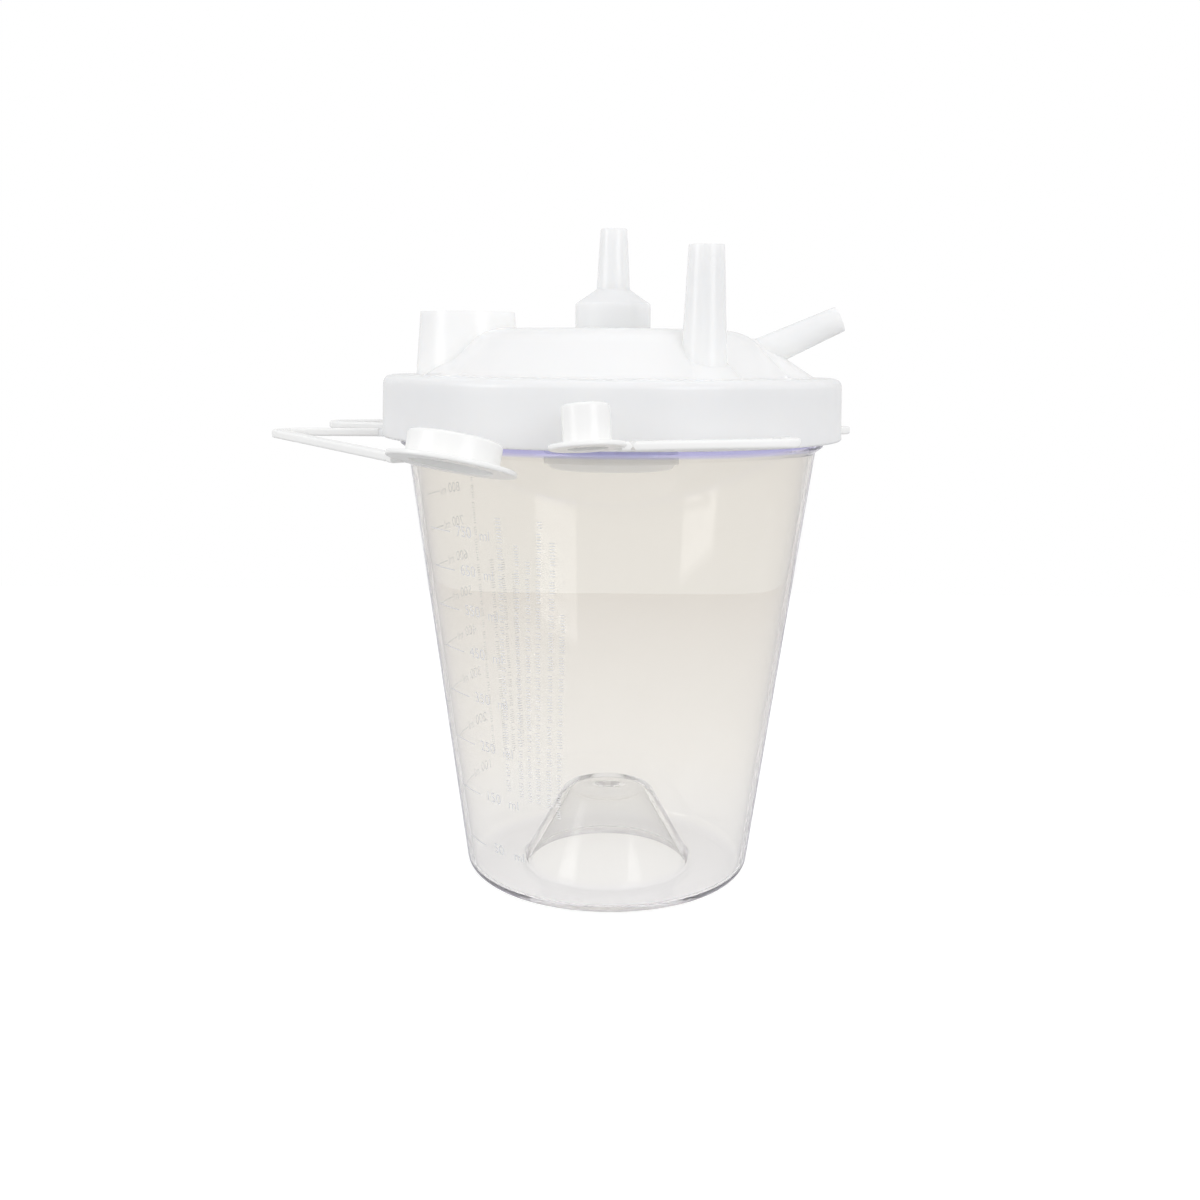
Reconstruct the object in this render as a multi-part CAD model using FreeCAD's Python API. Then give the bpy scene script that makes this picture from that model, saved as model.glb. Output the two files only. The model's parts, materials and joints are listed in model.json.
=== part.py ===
import FreeCAD
import Part

import math
import os
from FreeCAD import Placement, Rotation, Vector

# Suction canister: a clear tapered cup, a white press-fit lid with four ports, a cap on a strap for each
# port, and a float valve under the lid. Millimetres, +Z up, origin at the centre of the cup's base.

# Cup
CUP_BASE_R = 43.31          # outer radius where the wall's line meets the table
CUP_TAPER = 0.1318          # outward growth of the radius for each millimetre of height
CUP_WALL = 1.6
CUP_FLOOR = 1.8
CUP_FOOT_ROUND = 5.0        # outer corner between wall and base
CUP_HEIGHT = 149.6
COLLAR_Z = 131.0            # the wall steps out here into the collar
COLLAR_STEP = 2.2           # how far the collar stands out from the wall
COLLAR_RISE = 1.6           # height over which the collar steps out
COLLAR_DRAFT = 0.02         # outward growth of the collar for each millimetre of height
RIM_LIP = 1.5               # how far the rim stands out from the collar
RIM_LIP_HEIGHT = 2.2
KICK_BASE_R = 26.4          # kick-up in the floor, seen from inside
KICK_TOP_R = 13.3
KICK_HEIGHT = 25.4
KICK_ROUND = 3.0
GATE_R = 1.5                # moulding gate mark in the middle of the kick-up
GATE_DEPTH = 0.7

# Lid shell
SKIRT_BOTTOM_Z = 134.5
SKIRT_BOTTOM_R = 68.0
SKIRT_TOP_R = 67.45
SKIRT_WALL = 2.2
PLATEAU_Z = 152.3           # level ledge round the dome
LID_WALL = 1.8
LID_CORNER = 2.5
DOME_BASE_R = 52.4
DOME_TOP_Z = 165.7
DOME_FLANK = 45.0           # degrees from level
DOME_FOOT_ROUND = 3.5
DOME_SHOULDER_ROUND = 13.0
SNAP_CLEARANCE = 0.3        # between the snap bead, drawn relaxed, and the cup's rim
SNAP_BEAD_HEIGHT = 2.4
SNAP_BEAD_CREST = 0.7       # height of the bead's crest below its top
SNAP_GAP_Z = 0.6            # bead to the underside of the rim lip
SEAT_GAP = 0.3              # lid underside to the cup's rim, and plug ring to the cup's mouth
PLUG_RING_DEPTH = 9.0
PLUG_RING_WALL = 1.6
PLUG_RING_TAPER = 0.2       # how much narrower the ring is at its lower edge

# Vacuum port: turret, cone and hose taper on the lid's axis
TURRET_R = 11.15
TURRET_TOP_Z = 173.2
CONE_TOP_Z = 177.4
VACUUM_ROOT_R = 4.9
VACUUM_TIP_R = 3.9
VACUUM_TOP_Z = 194.7
VACUUM_BORE_R = 2.4
VACUUM_BORE_LENGTH = 20.0
CHAMBER_WALL = 1.9
SEAT_HOLE_R = 4.0
SEAT_LIP = 2.0
SEAT_LIP_HEIGHT = 1.2

# Each port stands on a pad, a swelling of the dome, whose foot lies on the ledge and whose top in the dome.

# Pour port. Its pad is a ramp with flat sides: corners as reach from the axis and half width there.
POUR_AZIMUTH = 180.0
POUR_REACH = 42.9           # from the lid's axis
POUR_TOP_Z = 170.5
POUR_TIP_R = 13.9
POUR_TAPER = 4.6            # degrees a side
POUR_BORE_R = 11.9
POUR_PAD = dict(foot=((22.0, 24.0), (43.1, 31.0), (54.2, 13.7)),
                top=((16.0, 13.0), (28.3, 15.4), (34.2, 11.3)), top_z=165.2)

# Patient port. The pads of the two tube ports are round: foot and top are ellipses, given as the reach of
# the centre, the half width along the reach and the half width across it.
PATIENT_AZIMUTH = -57.7
PATIENT_REACH = 45.6
PATIENT_TOP_Z = 187.4
PATIENT_TIP_R = 4.83
PATIENT_TAPER = 2.6
PATIENT_BORE_R = 3.2
PATIENT_PAD = dict(foot=(43.5, 12.0, 11.5), top=(38.5, 4.6, 4.6), top_z=163.0)

# Tandem port, leaning out over the skirt
TANDEM_AZIMUTH = 0.0
TANDEM_TIP = (67.0, 169.6)  # reach from the axis and height of the tip's centre
TANDEM_RISE = 24.5          # degrees above level
TANDEM_LENGTH = 25.0        # from the tip to the dome's inside
TANDEM_TIP_R = 3.85
TANDEM_TAPER = 2.1
TANDEM_BORE_R = 2.3
TANDEM_PAD = dict(foot=(47.2, 13.0, 13.0), top=(38.5, 4.0, 4.0), top_z=163.6)

# Float valve
CAGE_R = 20.3
CAGE_WALL = 1.6
CAGE_CLEARANCE = 0.1        # cage to the spigot it is pushed over, on the radius
CAGE_BOTTOM_Z = 125.0
CAGE_FLOOR = 1.6
CAGE_CHAMFER = 2.2
CAGE_WINDOWS = 6
CAGE_WINDOW_WIDTH = 9.0
CAGE_WINDOW_Z = (138.5, 151.0)
CAGE_DRAIN_R = 2.4
CAGE_DRAIN_REACH = 11.0
CAGE_ROUND = 0.3           # edges of the cage, the float and the seal
SPIGOT_WALL = 1.6
SPIGOT_DEPTH = 9.0
FLOAT_R = 13.5
FLOAT_WALL = 1.2
FLOAT_HEIGHT = 26.0
FLOAT_SHOULDER = 1.5
FLOAT_REST_GAP = 0.3
SEAL_R = 8.5
SEAL_THICKNESS = 2.0
SEAL_SUNK = 1.0
SEAL_STEM_R = 2.0
SEAL_CLEARANCE = 0.1        # stem to the float's hole, on the radius
SEAL_RECESS_GAP = 0.3       # seal to the edge of its recess, on the radius
SEAL_STEM_TAIL = 1.4        # how far the stem reaches past the float's top wall

# Straps, moulded flat just above the skirt's lower edge
STRAP_THICKNESS = 2.3
STRAP_WIDTH = 3.6
STRAP_ROUND = 0.7
LUG_LENGTH = 1.5
LUG_FLARE = 1.4             # how much wider the lug is on the skirt than at the strap
HINGE_GAP = 0.3             # lug to strap
NOTCH_GAP = 0.4             # strap to cap at the notch
NOTCH_EDGE = 0.4            # thickness left at the notch
EAR_WIDTH = 4.4
EAR_LENGTH = 1.6            # notch to the flange's edge
EAR_ROOT = 1.2              # how far the ear reaches into the flange

# Each strap and its cap. Azimuths are degrees about the lid, z is the middle of the strap at the skirt. The
# stub leaves the skirt square to it, the strap turns (sense 1 is left) and runs to the cap, which hangs a
# gap away from the skirt and whose centre may lie to the left of the run. rise and roll are how its flange
# hangs: upwards away from the strap, and about it.
STRAPS = {
    "pour": dict(root=183.5, z=135.2, stub=19.0, turn=8.5, sense=1, cap=243.45, gap=3.55, left=7.6,
                 drop=2.9, rise=3.1, roll=-14.1),
    "patient": dict(root=-49.6, z=136.6, stub=1.0, turn=3.4, sense=-1, cap=-94.6, gap=2.5, left=0.0,
                    drop=0.0, rise=0.0, roll=10.0),
    "vacuum": dict(root=158.0, z=135.2, stub=23.9, turn=6.8, sense=-1, cap=115.0, gap=1.7, left=0.0,
                   drop=0.0, rise=0.0, roll=3.0),
    "tandem": dict(root=10.0, z=136.2, stub=1.0, turn=3.4, sense=1, cap=55.0, gap=1.7, left=0.0,
                   drop=0.0, rise=0.0, roll=-6.0),
}

# Caps: the pour cap plugs into its port, the three small ones go over theirs
POUR_CAP_FLANGE_R = 16.2
POUR_CAP_CLEARANCE = 0.2    # plug to port bore, on the radius
POUR_CAP_WALL = 1.4
POUR_CAP_HEIGHT = 7.3
SMALL_FLANGE_R = 9.5
SMALL_CAP_WALL = 0.9
SMALL_CAP_HEIGHT = 10.8
SMALL_CAP_CLEARANCE = 0.15  # cap to port tip, on the radius
CAP_FLANGE = 1.3
CAP_ROUND = 0.9
CAP_HOLLOW_DRAFT = 0.15     # how much narrower a cap's hollow is at its closed end, on the radius

THROUGH = 1.0               # how far a cut runs past the face it goes through

SKIRT_DRAFT = (SKIRT_BOTTOM_R - SKIRT_TOP_R) / (PLATEAU_Z - SKIRT_BOTTOM_Z)


def cup_outer(z):
    """Outer radius of the cup's tapered wall at a height."""
    return CUP_BASE_R + CUP_TAPER * z


COLLAR_R = cup_outer(COLLAR_Z) + COLLAR_STEP
COLLAR_TOP_R = COLLAR_R + COLLAR_DRAFT * (CUP_HEIGHT - COLLAR_Z)
RIM_R = COLLAR_TOP_R + RIM_LIP
MOUTH_R = COLLAR_TOP_R - CUP_WALL
DOME_UNDER_Z = DOME_TOP_Z - LID_WALL
PLATEAU_UNDER_Z = PLATEAU_Z - LID_WALL
DOME_RUN = (DOME_TOP_Z - PLATEAU_Z) / math.tan(math.radians(DOME_FLANK))
# Inner face of the flank, where it meets the underside of the ledge
DOME_UNDER_R = DOME_BASE_R - LID_WALL * math.tan(math.radians(DOME_FLANK / 2))
SPIGOT_R = CAGE_R - CAGE_WALL - CAGE_CLEARANCE


def on_circle(radius, azimuth, z=0.0):
    """Point at a radius and an azimuth in degrees about the lid's axis."""
    angle = math.radians(azimuth)
    return Vector(radius * math.cos(angle), radius * math.sin(angle), z)


def rounded_outline(corners):
    """Closed wire in the XZ plane from corners (radius, z, rounding)."""
    count = len(corners)
    ends = []
    for i in range(count):
        here = Vector(corners[i][0], 0, corners[i][1])
        before = Vector(corners[i - 1][0], 0, corners[i - 1][1]) - here
        after = Vector(corners[(i + 1) % count][0], 0, corners[(i + 1) % count][1]) - here
        rounding = corners[i][2]
        if rounding <= 0:
            ends.append((here, None, here))
            continue
        half = before.getAngle(after) / 2
        cut = rounding / math.tan(half)
        before.normalize()
        after.normalize()
        middle = before + after
        middle.normalize()
        bulge = rounding / math.sin(half) - rounding
        ends.append((here + before * cut, here + middle * bulge, here + after * cut))
    edges = []
    for i in range(count):
        start, mid, stop = ends[i]
        if mid is not None:
            edges.append(Part.Arc(start, mid, stop).toShape())
        follow = ends[(i + 1) % count][0]
        if stop.distanceToPoint(follow) > 1e-6:
            edges.append(Part.LineSegment(stop, follow).toShape())
    return Part.Wire(edges)


def turned(corners):
    """Solid of revolution about Z from corners (radius, z, rounding)."""
    face = Part.Face(rounded_outline(corners))
    return face.revolve(Vector(0, 0, 0), Vector(0, 0, 1), 360)


def tapered(tip, direction, tip_r, taper, length):
    """Round taper that widens from its tip, back against its direction."""
    root_r = tip_r + length * math.tan(math.radians(taper))
    return Part.makeCone(tip_r, root_r, length, tip, direction * -1)


def ellipse_wire(azimuth, reach, z, radial, lateral):
    """Level ellipse whose axes lie along and across an azimuth."""
    curve = Part.Ellipse(Vector(0, 0, 0), max(radial, lateral), min(radial, lateral)).toShape()
    turn = azimuth if radial > lateral else azimuth + 90
    curve.rotate(Vector(0, 0, 0), Vector(0, 0, 1), turn)
    curve.translate(on_circle(reach, azimuth, z))
    return Part.Wire([curve])


def facet_wire(azimuth, corners, z):
    """Level outline with straight sides about an azimuth, from corners (reach, half width)."""
    angle = math.radians(azimuth)
    outward = Vector(math.cos(angle), math.sin(angle), 0)
    side = Vector(-outward.y, outward.x, 0)
    left = [outward * reach + side * half + Vector(0, 0, z) for reach, half in corners]
    right = [outward * reach - side * half + Vector(0, 0, z) for reach, half in reversed(corners)]
    return Part.makePolygon(left + right + left[:1])


def ramp_pad(azimuth, sizes, skin):
    """Pad with flat sides, drawn skin millimetres under its outer faces."""
    inset = skin * math.tan(math.radians(DOME_FLANK / 2))
    foot = [(reach - inset, half - inset) for reach, half in sizes["foot"]]
    top = [(reach - inset, half - inset) for reach, half in sizes["top"]]
    return Part.makeLoft([facet_wire(azimuth, foot, PLATEAU_Z - skin),
                          facet_wire(azimuth, top, sizes["top_z"] - skin)], True, True)


def round_pad(azimuth, sizes, skin):
    """Round pad, drawn skin millimetres inside its outer face."""
    reach, radial, lateral = sizes["foot"]
    foot = ellipse_wire(azimuth, reach, PLATEAU_Z - skin, radial - skin, lateral - skin)
    reach, radial, lateral = sizes["top"]
    top = ellipse_wire(azimuth, reach, sizes["top_z"] - skin, radial - skin / 2, lateral - skin / 2)
    return Part.makeLoft([foot, top], True, True)


def canister():
    """Clear cup: kick-up floor, tapered wall, collar and rim, in one outline."""
    under_kick = KICK_HEIGHT - CUP_FLOOR
    inner_z = CUP_FLOOR
    outline = [
        (0, under_kick, 0),
        (KICK_TOP_R - CUP_WALL, under_kick, KICK_ROUND - 1.0),
        (KICK_BASE_R - CUP_WALL, 0, 1.0),
        (CUP_BASE_R, 0, CUP_FOOT_ROUND),
        (cup_outer(COLLAR_Z), COLLAR_Z, 0.8),
        (COLLAR_R, COLLAR_Z + COLLAR_RISE, 0.6),
        (COLLAR_TOP_R, CUP_HEIGHT - RIM_LIP_HEIGHT, 0.4),
        (RIM_R, CUP_HEIGHT - RIM_LIP_HEIGHT, 0.6),
        (RIM_R, CUP_HEIGHT, 0.8),
        (MOUTH_R, CUP_HEIGHT, 0.5),
        (COLLAR_R - CUP_WALL, COLLAR_Z + COLLAR_RISE + CUP_WALL / 2, 0.8),
        (cup_outer(COLLAR_Z) - CUP_WALL, COLLAR_Z, 0.8),
        (CUP_BASE_R - CUP_WALL + CUP_TAPER * inner_z, inner_z, CUP_FOOT_ROUND - CUP_WALL),
        (KICK_BASE_R, inner_z, KICK_ROUND),
        (KICK_TOP_R, KICK_HEIGHT, KICK_ROUND),
        (0, KICK_HEIGHT, 0),
    ]
    gate = Part.makeCone(GATE_R, 0, GATE_DEPTH, Vector(0, 0, under_kick))
    return turned(outline).cut(gate)


def under_dome():
    """The space that the dome's underside bounds, down to the underside of the ledge."""
    return turned([
        (0, PLATEAU_UNDER_Z, 0),
        (DOME_UNDER_R, PLATEAU_UNDER_Z, 0),
        (DOME_UNDER_R - DOME_RUN, DOME_UNDER_Z, DOME_SHOULDER_ROUND - LID_WALL),
        (0, DOME_UNDER_Z, 0),
    ])


def lid_shell():
    """Skirt, ledge, dome, turret and vacuum taper, with the rings underneath, in one outline."""
    bore_foot = VACUUM_TOP_Z - VACUUM_BORE_LENGTH
    chamber_r = TURRET_R - CHAMBER_WALL
    chamber_top = TURRET_TOP_Z - CHAMBER_WALL / 2
    bead_top = CUP_HEIGHT - RIM_LIP_HEIGHT - SNAP_GAP_Z
    bead_r = RIM_R + SNAP_CLEARANCE
    plug_r = MOUTH_R - SEAT_GAP
    seat_z = DOME_UNDER_Z - SEAT_LIP_HEIGHT

    def skirt_in(z):
        return SKIRT_BOTTOM_R - SKIRT_WALL - SKIRT_DRAFT * (z - SKIRT_BOTTOM_Z)

    outline = [
        (skirt_in(SKIRT_BOTTOM_Z), SKIRT_BOTTOM_Z, 0.5),
        (SKIRT_BOTTOM_R, SKIRT_BOTTOM_Z, 0.6),
        (SKIRT_TOP_R, PLATEAU_Z, LID_CORNER),
        (DOME_BASE_R, PLATEAU_Z, DOME_FOOT_ROUND),
        (DOME_BASE_R - DOME_RUN, DOME_TOP_Z, DOME_SHOULDER_ROUND),
        (TURRET_R, DOME_TOP_Z, 0.8),
        (TURRET_R, TURRET_TOP_Z, 0.8),
        (VACUUM_ROOT_R, CONE_TOP_Z, 0.8),
        (VACUUM_TIP_R, VACUUM_TOP_Z, 0.4),
        (VACUUM_BORE_R, VACUUM_TOP_Z, 0.3),
        (VACUUM_BORE_R, bore_foot, 0),
        (chamber_r, chamber_top, 0.8),
        (chamber_r, DOME_TOP_Z, 0.5),
        (SEAT_HOLE_R, DOME_TOP_Z, 0.4),
        (SEAT_HOLE_R, seat_z, 0.2),
        (SEAT_HOLE_R + SEAT_LIP, seat_z, 0.2),
        (SEAT_HOLE_R + SEAT_LIP, DOME_UNDER_Z, 0.3),
        (SPIGOT_R - SPIGOT_WALL, DOME_UNDER_Z, 0.5),
        (SPIGOT_R - SPIGOT_WALL, DOME_UNDER_Z - SPIGOT_DEPTH, 0.3),
        (SPIGOT_R, DOME_UNDER_Z - SPIGOT_DEPTH, 0.5),
        (SPIGOT_R, DOME_UNDER_Z, 0),
        (DOME_UNDER_R - DOME_RUN, DOME_UNDER_Z, DOME_SHOULDER_ROUND - LID_WALL),
        (DOME_UNDER_R, PLATEAU_UNDER_Z, 1.5),
        (plug_r - PLUG_RING_WALL, PLATEAU_UNDER_Z, 0.5),
        (plug_r - PLUG_RING_WALL, PLATEAU_UNDER_Z - PLUG_RING_DEPTH, 0.3),
        (plug_r - PLUG_RING_TAPER, PLATEAU_UNDER_Z - PLUG_RING_DEPTH, 0.6),
        (plug_r, PLATEAU_UNDER_Z, 0),
        (skirt_in(PLATEAU_UNDER_Z), PLATEAU_UNDER_Z, 0.5),
        (skirt_in(bead_top), bead_top, 0.2),
        (bead_r, bead_top - SNAP_BEAD_CREST, 0.3),
        (skirt_in(bead_top - SNAP_BEAD_HEIGHT), bead_top - SNAP_BEAD_HEIGHT, 0.3),
    ]
    return turned(outline)


def lug(strap):
    """Flared lug on the skirt that carries a strap."""
    inner = SKIRT_BOTTOM_R - SKIRT_WALL / 2
    outer = SKIRT_BOTTOM_R + LUG_LENGTH
    half = STRAP_WIDTH / 2
    low = strap["z"] - STRAP_THICKNESS / 2
    flare = half + LUG_FLARE
    points = [(inner, -flare), (SKIRT_BOTTOM_R, -flare), (outer, -half), (outer, half),
              (SKIRT_BOTTOM_R, flare), (inner, flare)]
    corners = [Vector(x, y, low) for x, y in points]
    face = Part.Face(Part.makePolygon(corners + corners[:1]))
    block = face.extrude(Vector(0, 0, STRAP_THICKNESS))
    block.rotate(Vector(0, 0, 0), Vector(0, 0, 1), strap["root"])
    return block


def tandem_axis():
    """Tip centre and outward direction of the tandem port."""
    reach, height = TANDEM_TIP
    rise = math.radians(TANDEM_RISE)
    tip = on_circle(reach, TANDEM_AZIMUTH, height)
    direction = on_circle(math.cos(rise), TANDEM_AZIMUTH, math.sin(rise))
    return tip, direction


def lid():
    """White lid: shell, pads, ports, lugs, then the bores."""
    up = Vector(0, 0, 1)
    pour = on_circle(POUR_REACH, POUR_AZIMUTH, POUR_TOP_Z)
    patient = on_circle(PATIENT_REACH, PATIENT_AZIMUTH, PATIENT_TOP_Z)
    tip, lean = tandem_axis()
    pads = [(ramp_pad, POUR_AZIMUTH, POUR_PAD), (round_pad, PATIENT_AZIMUTH, PATIENT_PAD),
            (round_pad, TANDEM_AZIMUTH, TANDEM_PAD)]

    # The pads' skins lie outside the dome's underside, and their hollows open into the space under it
    hollows = [pad(azimuth, sizes, LID_WALL) for pad, azimuth, sizes in pads]
    skins = [pad(azimuth, sizes, 0).cut([under_dome()] + hollows) for pad, azimuth, sizes in pads]
    rings = Part.makeCylinder(CAGE_R, DOME_TOP_Z - PLATEAU_UNDER_Z, Vector(0, 0, PLATEAU_UNDER_Z))
    body = lid_shell().cut([hollow.cut(rings) for hollow in hollows]).fuse(skins)

    pour_tube = tapered(pour, up, POUR_TIP_R, POUR_TAPER, POUR_TOP_Z - PLATEAU_UNDER_Z)
    patient_tube = tapered(patient, up, PATIENT_TIP_R, PATIENT_TAPER, PATIENT_TOP_Z - PLATEAU_UNDER_Z)
    tandem_tube = tapered(tip, lean, TANDEM_TIP_R, TANDEM_TAPER, TANDEM_LENGTH)
    lugs = [lug(strap) for strap in STRAPS.values()]
    body = body.fuse([pour_tube, patient_tube, tandem_tube] + lugs)

    bores = []
    for mouth, direction, radius, length in (
            (pour, up, POUR_BORE_R, POUR_TOP_Z - PLATEAU_UNDER_Z),
            (patient, up, PATIENT_BORE_R, PATIENT_TOP_Z - PLATEAU_UNDER_Z),
            (tip, lean, TANDEM_BORE_R, TANDEM_LENGTH)):
        bores.append(Part.makeCylinder(radius, length + THROUGH, mouth, direction * -1))
    return body.cut(bores).removeSplitter()


def float_cage():
    """Cup under the lid that holds the float: pushed over the spigot, with windows and drain holes."""
    inner_r = CAGE_R - CAGE_WALL
    outline = [
        (0, CAGE_BOTTOM_Z, 0),
        (CAGE_R - CAGE_CHAMFER, CAGE_BOTTOM_Z, 0.4),
        (CAGE_R, CAGE_BOTTOM_Z + CAGE_CHAMFER, 0.6),
        (CAGE_R, DOME_UNDER_Z - SEAT_GAP, CAGE_ROUND),
        (inner_r, DOME_UNDER_Z - SEAT_GAP, CAGE_ROUND),
        (inner_r, CAGE_BOTTOM_Z + CAGE_CHAMFER, 0),
        (inner_r - CAGE_CHAMFER + CAGE_FLOOR, CAGE_BOTTOM_Z + CAGE_FLOOR, 0),
        (0, CAGE_BOTTOM_Z + CAGE_FLOOR, 0),
    ]
    body = turned(outline)
    low, high = CAGE_WINDOW_Z
    tools = []
    for i in range(CAGE_WINDOWS):
        turn = 360.0 * i / CAGE_WINDOWS
        window = Part.makeBox(2 * CAGE_WALL + THROUGH, CAGE_WINDOW_WIDTH, high - low,
                              Vector(inner_r - CAGE_WALL, -CAGE_WINDOW_WIDTH / 2, low))
        window.rotate(Vector(0, 0, 0), Vector(0, 0, 1), turn)
        drain = Part.makeCylinder(CAGE_DRAIN_R, CAGE_FLOOR + 2 * THROUGH,
                                  on_circle(CAGE_DRAIN_REACH, turn, CAGE_BOTTOM_Z - THROUGH))
        tools += [window, drain]
    return body.cut(tools)


def float_body():
    """Hollow float, open underneath, with a recess on top for the seal."""
    low = CAGE_BOTTOM_Z + CAGE_FLOOR + FLOAT_REST_GAP
    top = low + FLOAT_HEIGHT
    recess = top - SEAL_SUNK
    outline = [
        (FLOAT_R - FLOAT_WALL, low, CAGE_ROUND),
        (FLOAT_R, low, CAGE_ROUND),
        (FLOAT_R, top, FLOAT_SHOULDER),
        (SEAL_R + SEAL_RECESS_GAP, top, 0),
        (SEAL_R + SEAL_RECESS_GAP, recess, 0),
        (SEAL_STEM_R + SEAL_CLEARANCE, recess, 0),
        (SEAL_STEM_R + SEAL_CLEARANCE, recess - FLOAT_WALL, 0),
        (FLOAT_R - FLOAT_WALL, recess - FLOAT_WALL, 1.0),
    ]
    return turned(outline)


def float_seal():
    """Rubber disc with a stem, pressed into the top of the float."""
    top = CAGE_BOTTOM_Z + CAGE_FLOOR + FLOAT_REST_GAP + FLOAT_HEIGHT
    low = top - SEAL_SUNK
    high = low + SEAL_THICKNESS
    stem_end = low - FLOAT_WALL - SEAL_STEM_TAIL
    outline = [
        (0, stem_end, 0),
        (SEAL_STEM_R, stem_end, 0.5),
        (SEAL_STEM_R, low, 0),
        (SEAL_R, low, CAGE_ROUND),
        (SEAL_R, high, 0.5),
        (0, high, 0),
    ]
    return turned(outline)


def flange_r(name):
    return POUR_CAP_FLANGE_R if name == "pour" else SMALL_FLANGE_R


def strap_route(name):
    """Root, end of the stub, centre of the turn, angle turned, end of the turn, heading and cap centre."""
    strap = STRAPS[name]
    sense = strap["sense"]
    outward = on_circle(1, strap["root"])
    root = on_circle(SKIRT_BOTTOM_R + LUG_LENGTH + HINGE_GAP, strap["root"], strap["z"])
    bend = root + outward * strap["stub"]
    centre = bend + on_circle(strap["turn"], strap["root"] + 90 * sense)
    cap = on_circle(SKIRT_BOTTOM_R + strap["gap"] + flange_r(name), strap["cap"], strap["z"])
    to_cap = cap - centre
    bearing = math.degrees(math.atan2(to_cap.y, to_cap.x))
    # The run leaves the turn on the line that passes the cap's centre at the stated side offset
    offset = (strap["left"] - sense * strap["turn"]) / to_cap.Length
    heading = bearing - math.degrees(math.asin(offset))
    angle = (sense * (heading - strap["root"])) % 360
    end = centre + on_circle(strap["turn"], heading - 90 * sense)
    return root, bend, centre, angle, end, heading, cap


def notch_frame(name):
    """Start of the run, notch at its far end, the run's direction and the level line across it."""
    strap = STRAPS[name]
    end, heading, cap = strap_route(name)[4:]
    level = on_circle(1, heading)
    across = Vector(-level.y, level.x, 0)
    reach = (cap - end).dot(level)
    chord = math.sqrt(flange_r(name) ** 2 - strap["left"] ** 2)
    slope = math.degrees(math.asin(strap["drop"] / reach))
    direction = Rotation(across, slope).multVec(level)
    return end, end + direction * (reach - chord - EAR_LENGTH), direction, across


def bar(start, direction, across, length, width=STRAP_WIDTH):
    """Flat bar with rounded long edges, from a start point along a direction."""
    normal = direction.cross(across)
    box = Part.makeBox(length, width, STRAP_THICKNESS, Vector(0, -width / 2, -STRAP_THICKNESS / 2))
    long_edges = [e for e in box.Edges if abs(e.Length - length) < 1e-6
                  and abs(e.Vertexes[0].Point.x - e.Vertexes[1].Point.x) > 1e-3]
    box = box.makeFillet(STRAP_ROUND, long_edges)
    box.Placement = Placement(start, Rotation(direction, across, normal, "XYZ"))
    return box


def strap_body(name):
    """Hairpin strap: stub, turn and long run, thinned to an edge at the cap."""
    strap = STRAPS[name]
    root, bend, centre, angle = strap_route(name)[:4]
    outward = on_circle(1, strap["root"])
    side = Vector(-outward.y, outward.x, 0)
    stub = bar(root, outward, side, strap["stub"])
    section = stub.slice(outward, outward.dot(root) + strap["stub"] / 2)[0]
    section.translate(outward * (strap["stub"] / 2))
    turn = Part.Face(section).revolve(centre, Vector(0, 0, strap["sense"]), angle)

    start, notch, direction, across = notch_frame(name)
    run = bar(start, direction, across, (notch - start).Length - NOTCH_GAP / 2)
    return stub.fuse([turn, run]).cut(notch_tool(notch, direction, across, -1))


def notch_tool(notch, direction, across, sense):
    """Material taken off both faces to leave a thin edge at the notch; sense 1 is the cap's side of it."""
    up = direction.cross(across)
    edge = NOTCH_EDGE / 2
    foot = NOTCH_GAP / 2
    depth = STRAP_THICKNESS / 2 - edge + THROUGH
    prisms = []
    for face in (1, -1):
        low = face * edge
        high = face * (edge + depth)
        corners = [Vector(sense * foot, 0, low), Vector(sense * (foot + depth), 0, high),
                   Vector(-sense * THROUGH, 0, high), Vector(-sense * THROUGH, 0, low)]
        outline = Part.Face(Part.makePolygon(corners + corners[:1]))
        outline.translate(Vector(0, -EAR_WIDTH, 0))
        prism = outline.extrude(Vector(0, 2 * EAR_WIDTH, 0))
        prism.Placement = Placement(notch, Rotation(direction, across, up, "XYZ"))
        prisms.append(prism)
    return prisms


def cap_outline(flange, wall_r, hollow_r, height, roof):
    """Closed end up, flange at the open end, drawn from the flange's lower face."""
    return [
        (hollow_r, 0, 0.3),
        (flange, 0, 0.5),
        (flange, CAP_FLANGE, 0.5),
        (wall_r, CAP_FLANGE, 0.4),
        (wall_r, height, CAP_ROUND),
        (0, height, 0),
        (0, height - roof, 0),
        (hollow_r - CAP_HOLLOW_DRAFT, height - roof, CAP_ROUND / 2),
    ]


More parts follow.
